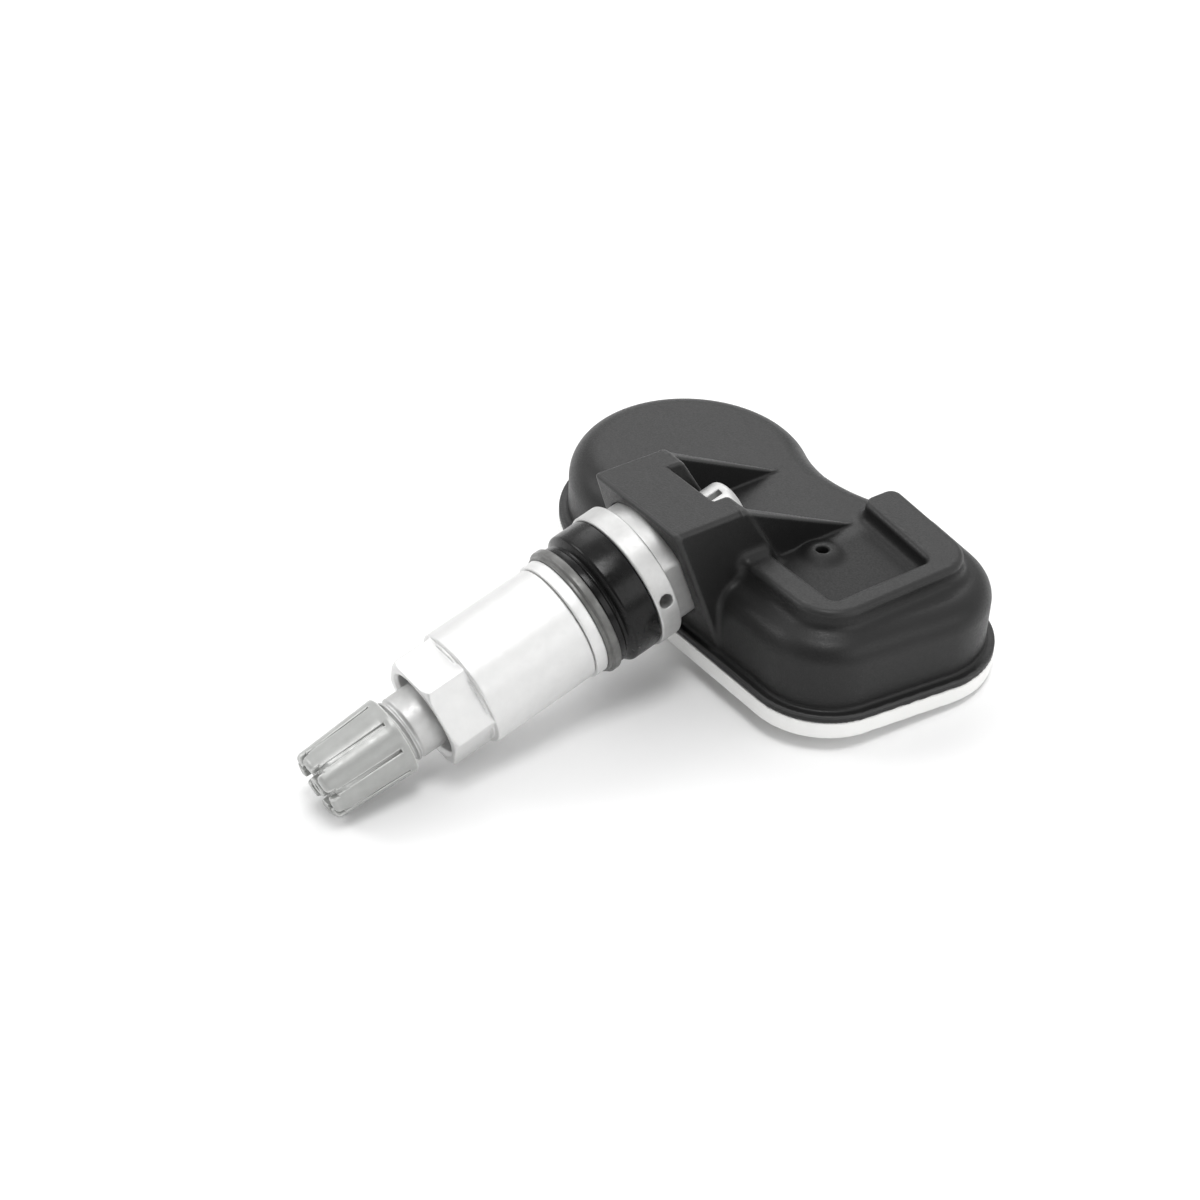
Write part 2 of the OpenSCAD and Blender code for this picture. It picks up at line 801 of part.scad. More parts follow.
module capacitors() {
    color([0.7, 0.55, 0.35]) for (i = [0:3])
        on_board(
            capacitor_x, capacitor_y + capacitor_step * i,
            capacitor_w, capacitor_depth, small_h
        );
}

// Printed-wire antenna: a flat bow of wire on the board at the squared end
antenna_x = 3;
antenna_y = 31;
antenna_w = 13;
antenna_back = 2.5;
antenna_t = 0.8;

module antenna_loop() {
    color([0.85, 0.6, 0.3]) laid_down() translate([antenna_x, antenna_y, -board_top]) {
        cube([antenna_w, antenna_t, antenna_t]);
        translate([0, -antenna_back, 0]) cube([antenna_t, antenna_back, antenna_t]);
    }
}

upper_case();
base_plate();
valve_stem();
rim_grommet();
grommet_ring();
thrust_washer();
clamp_nut();
dust_cap();
cap_gasket();
core_body();
core_seal();
core_pin();
core_poppet();
core_spring();
circuit_board();
battery_cell();
battery_tab_top();
battery_tab_bottom();
pressure_sensor();
port_seal();
ferrite_core();
ferrite_coil();
controller_chip();
crystal();
capacitors();
antenna_loop();
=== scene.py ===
import bpy
import math
import numpy as np
from mathutils import Matrix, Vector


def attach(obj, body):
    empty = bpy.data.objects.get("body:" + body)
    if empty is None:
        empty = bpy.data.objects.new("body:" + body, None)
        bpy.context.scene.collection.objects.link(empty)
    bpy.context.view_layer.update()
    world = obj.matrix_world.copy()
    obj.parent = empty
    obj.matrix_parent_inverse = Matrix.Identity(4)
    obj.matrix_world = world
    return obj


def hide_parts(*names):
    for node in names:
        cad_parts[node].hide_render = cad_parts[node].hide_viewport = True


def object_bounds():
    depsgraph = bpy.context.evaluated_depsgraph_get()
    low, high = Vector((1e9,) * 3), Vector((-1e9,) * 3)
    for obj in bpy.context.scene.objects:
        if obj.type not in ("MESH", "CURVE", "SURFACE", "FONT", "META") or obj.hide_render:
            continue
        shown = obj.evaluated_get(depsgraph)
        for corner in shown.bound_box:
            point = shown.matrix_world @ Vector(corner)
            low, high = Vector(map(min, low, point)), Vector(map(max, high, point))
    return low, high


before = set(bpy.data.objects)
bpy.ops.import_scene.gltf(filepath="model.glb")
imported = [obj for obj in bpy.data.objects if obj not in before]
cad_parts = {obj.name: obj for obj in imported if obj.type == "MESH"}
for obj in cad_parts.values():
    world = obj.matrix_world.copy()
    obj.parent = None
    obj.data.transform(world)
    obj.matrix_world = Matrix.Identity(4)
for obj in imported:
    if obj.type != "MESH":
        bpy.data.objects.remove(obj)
cad_box = [list(map(float, corner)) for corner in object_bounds()]

# Places
# Lengths in mm, repeated from the part's source. Case pieces are drawn square to the
# case, valve pieces along the valve (u across, v up, s forward from the collar face).
PITCH = math.radians(16.7)
ROUND_R, FRONT_Y = 16.3, 7.0
PLATE_LOW, PLATE_SOFT = -10.6, 0.35
CAP_RIM, CAP_TIP, CAP_TIP_R = 31.0, 41.2, 3.95
low_z = -(CAP_TIP * math.sin(PITCH) + CAP_TIP_R * math.cos(PITCH))
low_y = -CAP_TIP * math.cos(PITCH) + CAP_TIP_R * math.sin(PITCH)
# The part lies on the cap's tip and on the back edge of its plate
TILT = math.atan2(PLATE_LOW - low_z, FRONT_Y + 2 * ROUND_R - PLATE_SOFT - low_y)
CASE_TO_ROW = Matrix.Rotation(-TILT, 4, "X")
VALVE_TO_ROW = CASE_TO_ROW @ Matrix.Rotation(math.radians(90) + PITCH, 4, "X")
MM = 0.001


def unit(deg):
    a = math.radians(deg)
    return np.array([math.cos(a), math.sin(a)])


def angle_of(v):
    return math.degrees(math.atan2(v[1], v[0]))


# Distance fields: negative inside, in mm
def smin(a, b, k):
    """Two fields joined, with a fillet of about k."""
    h = np.clip(0.5 + 0.5 * (b - a) / k, 0, 1)
    return b * (1 - h) + a * h - k * h * (1 - h)


def smax(a, b, k):
    """Two fields cut by each other, with the edge softened by about k."""
    return -smin(-a, -b, k)


def rounded(a, b, r):
    """Two fields cut by each other, with their common edge rounded to r."""
    x, y = a + r, b + r
    return np.minimum(np.maximum(x, y), 0) + np.hypot(np.maximum(x, 0), np.maximum(y, 0)) - r


def disc(rr, s, r, s0, s1, edge):
    """A turned disc about the valve axis, with its two rims rounded."""
    return rounded(rr - r, np.abs(s - (s0 + s1) / 2) - (s1 - s0) / 2, edge)


# Meshes from fields
def slope_of(field, p, e):
    """The field's slope at the points p, from steps of e each way."""
    g = np.zeros(p.shape)
    for i in range(3):
        step = np.zeros(3)
        step[i] = e
        g[:, i] = (field(*(p + step).T) - field(*(p - step).T)) / (2 * e)
    return g


def bend_of(field, p, e):
    """How sharply the surface turns outwards at the points p, for a highlight painted along sharp edges.
    """
    bend = -6 * field(*p.T)
    for i in range(3):
        step = np.zeros(3)
        step[i] = e
        bend = bend + field(*(p + step).T) + field(*(p - step).T)
    return bend / e ** 2


def crossings(F, shape):
    """Sum and count of the places where the field changes sign on each cell's edges."""
    total = np.zeros(tuple(shape) + (3,), np.float32)
    count = np.zeros(tuple(shape), np.float32)
    for ax in range(3):
        o1, o2 = [i for i in range(3) if i != ax]
        for i in (0, 1):
            for j in (0, 1):
                a = [slice(0, -1)] * 3
                a[o1] = slice(i, shape[o1] + i)
                a[o2] = slice(j, shape[o2] + j)
                b = list(a)
                b[ax] = slice(1, None)
                fa, fb = F[tuple(a)], F[tuple(b)]
                hit = (fa < 0) != (fb < 0)
                t = np.where(hit, fa / np.where(hit, fa - fb, 1), 0)
                count += hit
                total[..., ax] += t
                total[..., o1] += i * hit
                total[..., o2] += j * hit
    return total, count


def net_quads(inside, number):
    """One quad for each grid edge that the surface crosses, facing out of the solid."""
    quads = []
    for ax in range(3):
        o1, o2 = [(1, 2), (2, 0), (0, 1)][ax]
        a = [slice(None)] * 3
        b = [slice(None)] * 3
        a[ax], b[ax] = slice(0, -1), slice(1, None)
        for o in (o1, o2):
            a[o] = b[o] = slice(1, -1)
        start, end = inside[tuple(a)], inside[tuple(b)]
        base = np.argwhere(start != end)
        solid_first = start[start != end]
        base[:, o1] += 1
        base[:, o2] += 1
        corner = []
        for i, j in ((0, 0), (1, 0), (1, 1), (0, 1)):
            c = base.copy()
            c[:, o1] -= 1 - i
            c[:, o2] -= 1 - j
            corner.append(number[c[:, 0], c[:, 1], c[:, 2]])
        q = np.stack(corner, 1)
        q[~solid_first] = q[~solid_first][:, ::-1]
        quads.append(q)
    return np.concatenate(quads)


def net(field, low, high, h, e):
    """Points, quads, normals and bend of the surface where field is 0, by surface nets,
    each point then moved onto the surface along the field's own slope."""
    axes = [np.arange(low[i] - 2 * h, high[i] + 2 * h, h) + 0.37 * h for i in range(3)]
    X, Y, Z = np.meshgrid(*axes, indexing="ij", sparse=True)
    F = np.array(np.broadcast_to(field(X, Y, Z), [len(a) for a in axes]), dtype=np.float32)
    shape = np.array(F.shape) - 1
    total, count = crossings(F, shape)
    cells = count > 0
    number = np.full(tuple(shape), -1, np.int64)
    number[cells] = np.arange(cells.sum())
    pts = np.argwhere(cells) + total[cells] / count[cells][:, None]
    pts = pts * h + np.array([a[0] for a in axes])
    quads = net_quads(F < 0, number)
    start = pts.copy()
    for _ in range(5):
        g = slope_of(field, pts, 0.01)
        f = field(*pts.T)
        pts = pts - np.clip(f / np.maximum((g * g).sum(1), 0.2), -0.5 * h, 0.5 * h)[:, None] * g
        pts = start + np.clip(pts - start, -h, h)
    g = slope_of(field, pts, 0.02)
    g /= np.maximum(np.linalg.norm(g, axis=1), 1e-9)[:, None]
    return pts, quads, g, bend_of(field, pts, e)


def add_attribute(mesh, name, values):
    layer = mesh.attributes.new(name, "FLOAT", "POINT")
    layer.data.foreach_set("value", values.astype(np.float32))


def piece(name, pts, faces, matrix):
    """A smooth mesh object from points in mm, turned by matrix into the shared frame."""
    p = np.asarray(pts, float) @ np.array(matrix.to_3x3()).T * MM
    mesh = bpy.data.meshes.new(name)
    mesh.from_pydata(p.tolist(), [], [list(map(int, f)) for f in faces])
    mesh.update()
    mesh.polygons.foreach_set("use_smooth", [True] * len(mesh.polygons))
    obj = bpy.data.objects.new(name, mesh)
    bpy.context.scene.collection.objects.link(obj)
    return obj


def net_piece(name, field, low, high, h, matrix, e=0.22):
    """A piece from a field, meshed at h between low and high, with its bend stored."""
    pts, quads, normals, bend = net(field, low, high, h, e)
    obj = piece(name, pts, quads, matrix)
    add_attribute(obj.data, "bend", bend)
    turned = normals @ np.array(matrix.to_3x3()).T
    obj.data.normals_split_custom_set_from_vertices(turned.tolist())
    return obj


# Outline of the case: arcs and lines that touch, anticlockwise
FRONT_R, BACK_R, SHOULDER_R, WAIST_R = 9.4, 11.3, 7.0, 18.0
SLANT = 6.9
ROUND_C = np.array([-16.3, 23.3])
FRONT_C = np.array([17.8, 16.4])
BACK_Y, BACK_RUN = 28.3, 7
sin_slant, cos_slant = math.sin(math.radians(SLANT)), math.cos(math.radians(SLANT))
end_offset = FRONT_C @ unit(-SLANT) + FRONT_R
BACK_C = np.array([(end_offset - BACK_R + sin_slant * BACK_Y) / cos_slant, BACK_Y])
SHOULDER_C = BACK_C + (BACK_R - SHOULDER_R) * unit(90 - SLANT) + BACK_RUN * unit(180 - SLANT)
base = SHOULDER_C - ROUND_C
span = np.linalg.norm(base)
near, far = ROUND_R + WAIST_R, SHOULDER_R + WAIST_R
along = (near ** 2 - far ** 2 + span ** 2) / (2 * span)
aside = math.sqrt(near ** 2 - along ** 2)
WAIST_C = ROUND_C + along * base / span + aside * unit(angle_of(base) + 90)
# Centre, radius, first and last angle, and 1 for an outward arc or -1 for an inward one
ARCS = [
    (ROUND_C, ROUND_R, angle_of(WAIST_C - ROUND_C), 270, 1),
    (FRONT_C, FRONT_R, -90, -SLANT, 1),
    (BACK_C, BACK_R, -SLANT, 90 - SLANT, 1),
    (SHOULDER_C, SHOULDER_R, 90 - SLANT, angle_of(WAIST_C - SHOULDER_C), 1),
    (WAIST_C, WAIST_R, angle_of(ROUND_C - WAIST_C), angle_of(SHOULDER_C - WAIST_C), -1),
]
LINES = [
    (ROUND_C + ROUND_R * unit(270), FRONT_C + FRONT_R * unit(270)),
    (FRONT_C + FRONT_R * unit(-SLANT), BACK_C + BACK_R * unit(-SLANT)),
    (BACK_C + BACK_R * unit(90 - SLANT), SHOULDER_C + SHOULDER_R * unit(90 - SLANT)),
]
FAR = 1e6


def arc_field(x, y, c, r, a0, a1, way):
    """Distance to one arc, FAR outside its sector."""
    dx, dy = x - c[0], y - c[1]
    turn = np.degrees(np.arctan2(dy, dx))
    on = np.mod(turn - a0, 360) <= np.mod(a1 - a0, 360)
    return np.where(on, (np.hypot(dx, dy) - r) * way, FAR)


def line_field(x, y, a, b):
    """Distance to one line, FAR past its ends."""
    e = b - a
    length = np.hypot(*e)
    e = e / length
    t = (x - a[0]) * e[0] + (y - a[1]) * e[1]
    on = (t >= 0) & (t <= length)
    return np.where(on, (x - a[0]) * e[1] - (y - a[1]) * e[0], FAR)


def outline_field(x, y):
    """Distance to the case's outline: that of its nearest arc or line."""
    fields = [arc_field(x, y, *arc) for arc in ARCS]
    fields += [line_field(x, y, a, b) for a, b in LINES]
    best = fields[0]
    for d in fields[1:]:
        best = np.where(np.abs(d) < np.abs(best), d, best)
    return best


# The case
PLATE_TOP, FLANGE_TOP, CASE_TOP = -8.3, -7.4, 1.3
FLANGE_OVER = 1.15
BLOCK_TOP, BLOCK_HALF, BLOCK_FRONT, BLOCK_BACK = 9.86, 7.84, 2.0, 12.1
BLOCK_LEAN, BLOCK_DRAFT, BACK_FALL = math.radians(20), 0.08, 0.62
POCKET_HALF, POCKET_FRONT = 4.1, 10.0
GUSSET_TOP, GUSSET_FOOT, GUSSET_FRONT, GUSSET_END = 9.41, 29.0, 11.5, 30.0
GUSSET_OUT, GUSSET_IN, GUSSET_Y = 7.79, 6.29, 10.5
RIDGE_TOP = CASE_TOP + 2.5
RIDGE_X, RIDGE_FRONT, RIDGE_BACK, RIDGE_STOP = 22.9, 11.2, 34.0, 6.3
BAY_X, BAY_FRONT, BAY_BACK = 20.0, 14.9, 29.1
PORT_X, PORT_Y, PORT_R, PORT_FOOT = 9.9, 22.0, 0.75, 2.6
SEAT_R, SEAT_FLAT, SEAT_END = 7.5, 6.4, 6.6
TAIL_R, TAIL_END = 3.2, 17.0
ROOM = 0.05


def valve_coords(x, y, z):
    """Across, up and forward along the valve, of a place square to the case."""
    c, s = math.cos(PITCH), math.sin(PITCH)
    return x, -y * s + z * c, -y * c - z * s


def slanted_back(x, y, edge_x, edge_y):
    """Distance past a back edge that slants as the case's back does."""
    return (y - edge_y - math.tan(math.radians(SLANT)) * (edge_x - x)) * cos_slant


def ridge_field(x, y):
    """The U of the ridge from above: an outer round corner pair less an inner one."""
    back = slanted_back(x, y, RIDGE_X, RIDGE_BACK)
    outer = np.maximum(rounded(x - RIDGE_X, RIDGE_FRONT - y, 5.2), rounded(x - RIDGE_X, back, 4.2))
    bay_back = slanted_back(x, y, BAY_X, BAY_BACK)
    inner = np.maximum(rounded(x - BAY_X, BAY_FRONT - y, 0.8), rounded(x - BAY_X, bay_back, 0.8))
    return rounded(smax(outer, -inner, 0.1), RIDGE_STOP - x, 1.6)


def shell_field(x, y, z):
    """Body with its rounded top edge, and the flange round its foot."""
    outline = outline_field(x, y)
    # The top edge is rounder at the battery end than at the squared end
    edge = 4.3 - 1.3 * np.clip((x + 4) / 12, 0, 1)
    body = rounded(outline + FLANGE_OVER, z - CASE_TOP, edge)
    flange = rounded(outline, z - FLANGE_TOP, 0.22)
    return smin(body, flange, 0.45)


def block_field(x, y, z):
    """Leaning block that holds the valve, with its open pocket."""
    drop = BLOCK_TOP - z
    across = np.abs(x)
    front = (BLOCK_FRONT + drop * math.tan(BLOCK_LEAN) - y) * math.cos(BLOCK_LEAN)
    back = (y - BLOCK_BACK - drop * BACK_FALL) / math.hypot(1, BACK_FALL)
    side = across - (BLOCK_HALF + BLOCK_DRAFT * drop)
    top = rounded(smax(front, back, 0.5), z - BLOCK_TOP, 0.55)
    block = rounded(top, side, 0.6)
    block = smax(block, FLANGE_TOP - 0.3 - z, 0.1)
    pocket = np.maximum(np.maximum(across - POCKET_HALF, POCKET_FRONT - y), CASE_TOP - z)
    return smax(block, -pocket, 0.45)


def gusset_field(x, y, z):
    """Both gussets, tapering in height and in width towards the back."""
    slope = (GUSSET_TOP - CASE_TOP) / (GUSSET_FOOT - BLOCK_BACK)
    top = (z - (GUSSET_TOP - (y - BLOCK_BACK) * slope)) / math.hypot(1, slope)
    outer = np.abs(x) - (GUSSET_OUT - 0.0384 * (y - GUSSET_Y))
    inner = GUSSET_IN + 0.0174 * (y - GUSSET_Y) - np.abs(x)
    wall = rounded(top, smax(outer, inner, 0.15), 0.3)
    return np.maximum(wall, np.maximum(GUSSET_FRONT - y, y - GUSSET_END))


def case_field(x, y, z):
    f = smin(shell_field(x, y, z), block_field(x, y, z), 0.9)
    f = smin(f, gusset_field(x, y, z), 0.4)
    f = smin(f, rounded(ridge_field(x, y), z - RIDGE_TOP, 0.75), 1.5)
    # Pressure port on its low boss
    port = np.hypot(x - PORT_X, y - PORT_Y)
    boss = smax((port - (PORT_FOOT - (z - CASE_TOP) * 1.1)) / 1.49, z - CASE_TOP - 0.75, 0.5)
    f = smin(f, boss, 0.5)
    f = smax(f, -np.maximum(port - PORT_R, -1.0 - z), 0.25)
    # Seat of the valve's shoulder, and the way out for its tail
    u, v, s = valve_coords(x, y, z)
    rr = np.hypot(u, v)
    flat = np.maximum(rr - SEAT_R - ROOM, np.abs(u) - SEAT_FLAT - ROOM)
    f = smax(f, -np.maximum(flat, -SEAT_END - s), 0.2)
    f = smax(f, -np.maximum(rr - TAIL_R - ROOM, -30 - s), 0.2)
    return np.maximum(f, PLATE_TOP - z)


def plate_field(x, y, z):
    foot = rounded(outline_field(x, y), PLATE_LOW - z, 0.45)
    return rounded(foot, z - PLATE_TOP, 0.12)


# The valve, by radius and by place along it
COLLAR_R, COLLAR_W = 8.53, 2.72
AIR_R = 1.5
HOLE_R, HOLE_S, HOLE_END, HOLE_TURN = 0.85, 1.36, 5.1, math.radians(12)
SHANK_R, SHANK_END, SHANK_PITCH = 4.1, 25.5, 1.0
NECK_R, STEM_TIP, NECK_PITCH = 3.85, 38.2, 0.794
CORE_R, CORE_LOW = 2.65, 24.2
STACK_BORE = 4.25
GROMMET_R, RING_S = 8.27, 5.42
RING_R, WASHER_S = 7.98, 6.89
WASHER_R, WASHER_END = 7.36, 8.39
NUT_S, HEX_S, NUT_END = 8.44, 21.92, 27.12
SLEEVE_R, HEX_FLATS, HEX_CORNER_R = 7.1, 12.0, 6.928
NUT_BORE, MOUTH_R, MOUTH_S = 4.15, 5.1, 22.92
CAP_RIM_R, CAP_TAPER, CAP_GROOVES, CAP_BORE, CAP_BORE_END = 4.68, 0.58, 8, 3.9, 39.02


def collar_field(u, v, s):
    rr = np.hypot(u, v)
    collar = disc(rr, s, COLLAR_R, -COLLAR_W, 0, 0.22)
    shoulder = np.maximum(rounded(rr - SEAT_R, np.abs(u) - SEAT_FLAT, 0.15), np.abs(s + 4.3) - 2.3)
    tail = disc(rr, s, TAIL_R, -TAIL_END, -5, 0.8)
    slot = np.maximum(np.maximum(np.abs(u - 0.3) - 0.4, 2.1 - v), -15.7 - s)
    tail = smax(tail, -slot, 0.2)
    f = smin(smin(collar, shoulder, 0.2), tail, 0.3)
    f = smin(f, np.maximum(rr - SHANK_R + ROOM, np.abs(s) - 0.6), 0.05)
    f = smax(f, AIR_R - rr, 0.15)
    # Cross hole
    out = u * math.cos(HOLE_TURN) + v * math.sin(HOLE_TURN)
    across = -u * math.sin(HOLE_TURN) + v * math.cos(HOLE_TURN)
    hole = np.maximum(np.hypot(across, s + HOLE_S) - HOLE_R, HOLE_END - out)
    return smax(f, -hole, 0.12)


def nut_field(u, v, s):
    rr = np.hypot(u, v)
    sleeve = disc(rr, s, SLEEVE_R, NUT_S, HEX_S, 0.25)
    step = disc(rr, s, 6.4, 20, 22.2, 0.1)
    hexagon = None
    for deg in (30, 90, 150):
        c = unit(deg)
        side = np.abs(u * c[0] + v * c[1]) - HEX_FLATS / 2
        hexagon = side if hexagon is None else smax(hexagon, side, 0.12)
    hexagon = rounded(hexagon, np.abs(s - 24.06) - 3.06, 0.12)
    # The hexagon's corners are turned off to a cone at its open end
    cone = (rr - (HEX_CORNER_R - 0.55 + (NUT_END - s) * 1.2)) / math.hypot(1, 1.2)
    hexagon = smax(hexagon, cone, 0.12)
    f = smin(smin(sleeve, step, 0.12), hexagon, 0.12)
    f = smax(f, NUT_BORE - rr, 0.05)
    f = smax(f, -np.maximum(rr - MOUTH_R, MOUTH_S - s), 0.1)
    chamfer = rr - (MOUTH_R + (s - 26.75))
    f = smax(f, -np.maximum(chamfer, 26 - s), 0.1)
    return smax(f, -np.maximum(rr - MOUTH_R, s - 10.4), 0.1)


def cap_field(u, v, s):
    rr = np.hypot(u, v)
    half_turn = 180 / CAP_GROOVES
    phi = np.mod(np.degrees(np.arctan2(v, u)) + half_turn, 2 * half_turn) - half_turn
    # Lands, a little flatter than round away from the rim
    t = (s - CAP_RIM) / (CAP_TIP - CAP_RIM)
    past_rim = np.clip((s - 31.5) / 0.7, 0, 1)
    land = CAP_RIM_R - CAP_TAPER * t - past_rim * 0.14 * (phi / half_turn) ** 2
    groove_at = rr * np.sin(np.radians(np.abs(phi) - half_turn))
    floor_r = np.minimum(4.1, 4.1 - 0.35 * (s - 39.3))
    groove = np.maximum(np.abs(groove_at) - 0.2, floor_r - rr)
    side = smax(rr - land, -np.maximum(groove, 32.0 - s), 0.14)
    body = rounded(side, s - CAP_TIP, 0.55)
    body = rounded(body, CAP_RIM - s, 0.15)
    # Sunk ring round a small boss in the closed end, open between the lands
    ring = np.maximum(np.maximum(rr - 2.75, 1.3 - rr), 40.35 - s)
    gap = np.maximum(np.maximum(np.abs(groove_at) - 0.42, 1.3 - rr), 40.3 - s)
    body = smax(body, -ring, 0.25)
    body = smax(body, -gap, 0.25)
    dimple = np.maximum(rr - 0.55, 40.8 - s)
    body = smax(body, -dimple, 0.2)
    return smax(body, -np.maximum(rr - CAP_BORE, s - CAP_BORE_END), 0.08)


def corner_points(points, steps):
    """A closed profile of (r, s, radius), with each corner of a radius made round."""
    out = []
    n = len(points)
    for i, (x, y, r) in enumerate(points):
        here = np.array([x, y])
        a = np.array(points[i - 1][:2]) - here
        b = np.array(points[(i + 1) % n][:2]) - here
        a, b = a / np.linalg.norm(a), b / np.linalg.norm(b)
        if r == 0:
            out.append(tuple(here))
            continue
        half = math.acos(a @ b) / 2
        centre = here + (a + b) / np.linalg.norm(a + b) * r / math.sin(half)
        turn = 180 - math.degrees(2 * half)
        facing = angle_of(-(a + b))
        way = 1 if a[0] * b[1] - a[1] * b[0] < 0 else -1
        for k in range(steps + 1):
            out.append(tuple(centre + r * unit(facing + way * turn * (k / steps - 0.5))))
    return out


def lathe(name, profile, matrix, steps=160):
    """A turned piece about the valve axis from a closed profile of (r, s), anticlockwise
    when s runs up and r runs right."""
    pts, faces = [], []
    n = len(profile)
    for k in range(steps):
        a = 2 * math.pi * k / steps
        pts += [(r * math.cos(a), r * math.sin(a), s) for r, s in profile]
    for k in range(steps):
        m = (k + 1) % steps
        for i in range(n):
            j = (i + 1) % n
            faces.append((k * n + i, m * n + i, m * n + j, k * n + j))
    return piece(name, pts, faces, matrix)


def thread(s, theta, low, high, r, pitch, depth):
    """Radius of a fine thread along the valve, faded out at both of its ends."""
    turn = np.mod(s / pitch - theta / (2 * math.pi), 1)
    crest = np.clip(np.abs(turn - 0.5) * 4 - 0.5, 0, 1)
    fade = np.clip((s - low) / pitch, 0, 1) * np.clip((high - s) / pitch, 0, 1)
    return r - depth * (1 - crest) * fade


def make_shank(matrix, steps=96):
    """The threaded shank and neck, with the bore for the core, as one closed skin."""
    places = list(np.arange(-0.4, 8.6, 0.6)) + list(np.arange(8.6, 25.4, 0.125))
    places += [25.5, 25.65, 25.8]
    places += list(np.arange(26.2, 28.4, 0.4)) + list(np.arange(28.4, 38.0, 0.1))
    places += [38.0, 38.1, STEM_TIP]
    theta = np.arange(steps) * 2 * math.pi / steps
    rings = [(AIR_R, -0.4)]
    for s in places:
        if s < 25.45:
            r = thread(s, theta, 9.0, 25.2, SHANK_R, SHANK_PITCH, 0.4)
        elif s < 25.81:
            r = SHANK_R - (s - SHANK_END) / 0.3 * (SHANK_R - NECK_R)
        elif s <= 38.0:
            r = thread(s, theta, 29.3, 37.9, NECK_R, NECK_PITCH, 0.34)
        else:
            r = NECK_R - (s - 38.0) * 1.5
        rings.append((r, s))
    rings += [(2.85, STEM_TIP), (CORE_R, 38.0), (CORE_R, CORE_LOW), (AIR_R, CORE_LOW)]
    pts, faces = [], []
    n = len(rings)
    for r, s in rings:
        pts += np.stack([r * np.cos(theta), r * np.sin(theta), np.full(steps, s)], 1).tolist()
    for i in range(n):
        j = (i + 1) % n
        for k in range(steps):
            m = (k + 1) % steps
            faces.append((i * steps + k, i * steps + m, j * steps + m, j * steps + k))
    return piece("valve_shank", pts, faces, matrix)


# Pieces
case = net_piece("moulded_case", case_field, (-32.6, 2, -8.3), (29, 40.5, 9.9), 0.27, CASE_TO_ROW)
plate = net_piece("plate_skin", plate_field, (-32.6, 7, -10.6), (29, 40.5, -8.3), 0.36, CASE_TO_ROW)
collar = net_piece("valve_collar", collar_field, (-8.6, -8.6, -17), (8.6, 8.6, 0.6), 0.17, VALVE_TO_ROW)
nut = net_piece("sleeve_nut", nut_field, (-7.2, -7.2, 8.4), (7.2, 7.2, 27.2), 0.18, VALVE_TO_ROW)
cap = net_piece("fluted_cap", cap_field, (-4.8, -4.8, 31), (4.8, 4.8, 41.2), 0.1, VALVE_TO_ROW, 0.12)
shank = make_shank(VALVE_TO_ROW)

grommet = lathe("rubber_grommet", corner_points([
    (STACK_BORE, 0, 0), (GROMMET_R, 0, 0.25), (GROMMET_R, 3.5, 0.45), (7.45, 4.05, 0.3),
    (7.3, 4.4, 0.2), (7.6, 4.5, 0.2), (7.6, RING_S, 0.25), (STACK_BORE, RING_S, 0)], 5), VALVE_TO_ROW)
ring = lathe("seat_ring", corner_points([
    (STACK_BORE, RING_S, 0), (RING_R, RING_S, 0.2), (RING_R, 6.35, 0.15), (7.6, 6.5, 0.1),
    (7.6, WASHER_S, 0.1), (STACK_BORE, WASHER_S, 0)], 4), VALVE_TO_ROW)
washer = lathe("nut_washer", corner_points([
    (STACK_BORE, WASHER_S, 0), (WASHER_R, WASHER_S, 0.12), (WASHER_R, WASHER_END, 0.16),
    (STACK_BORE, WASHER_END, 0)], 4), VALVE_TO_ROW)

# The floor inside the ridge is moulded with a rougher grain, marked by an attribute
co = np.empty(len(case.data.vertices) * 3)
case.data.vertices.foreach_get("co", co)
x, y, z = (co.reshape(-1, 3) @ np.array(CASE_TO_ROW.to_3x3()) / MM).T
inset = np.minimum(np.minimum(20.2 - x, x - 8.5), np.minimum(y - BAY_FRONT, 29.6 + 0.12 * (BAY_X - x) - y))
inset = np.clip(inset / 1.2, 0, 1) * np.clip((2.6 - z) / 0.6, 0, 1)
add_attribute(case.data, "inset", inset)

for obj, body, nodes, slot_name in (
    (case, "sensor_body", ["upper_case"], "upper_case"),
    (plate, "sensor_body", ["base_plate"], "base_plate"),
    (collar, "sensor_body", ["valve_stem"], "valve_stem"),
    (shank, "sensor_body", [], "valve_stem"),
    (grommet, "sensor_body", ["rim_grommet"], "rim_grommet"),
    (ring, "sensor_body", ["grommet_ring"], "grommet_ring"),
    (washer, "nut_slide", ["thrust_washer"], "thrust_washer"),
    (nut, "nut", ["clamp_nut"], "clamp_nut"),
    (cap, "cap", ["dust_cap"], "dust_cap"),
):
    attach(obj, body)
    if nodes:
        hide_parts(*nodes)


# Materials
def map_range(tree, value, source, target):
    """A node that takes value from the span source to the span target."""
    node = tree.nodes.new("ShaderNodeMapRange")
    node.inputs["From Min"].default_value, node.inputs["From Max"].default_value = source
    node.inputs["To Min"].default_value, node.inputs["To Max"].default_value = target
    tree.links.new(value, node.inputs["Value"])
    return node


def scale_color(tree, bsdf, factor):
    """Multiplies the shader's base colour by a factor socket."""
    node = tree.nodes.new("ShaderNodeVectorMath")
    node.operation = "SCALE"
    socket = bsdf.inputs["Base Color"]
    if socket.links:
        tree.links.new(socket.links[0].from_socket, node.inputs[0])
    else:
        node.inputs[0].default_value = socket.default_value[:3]
    tree.links.new(factor, node.inputs["Scale"])
    tree.links.new(node.outputs[0], socket)


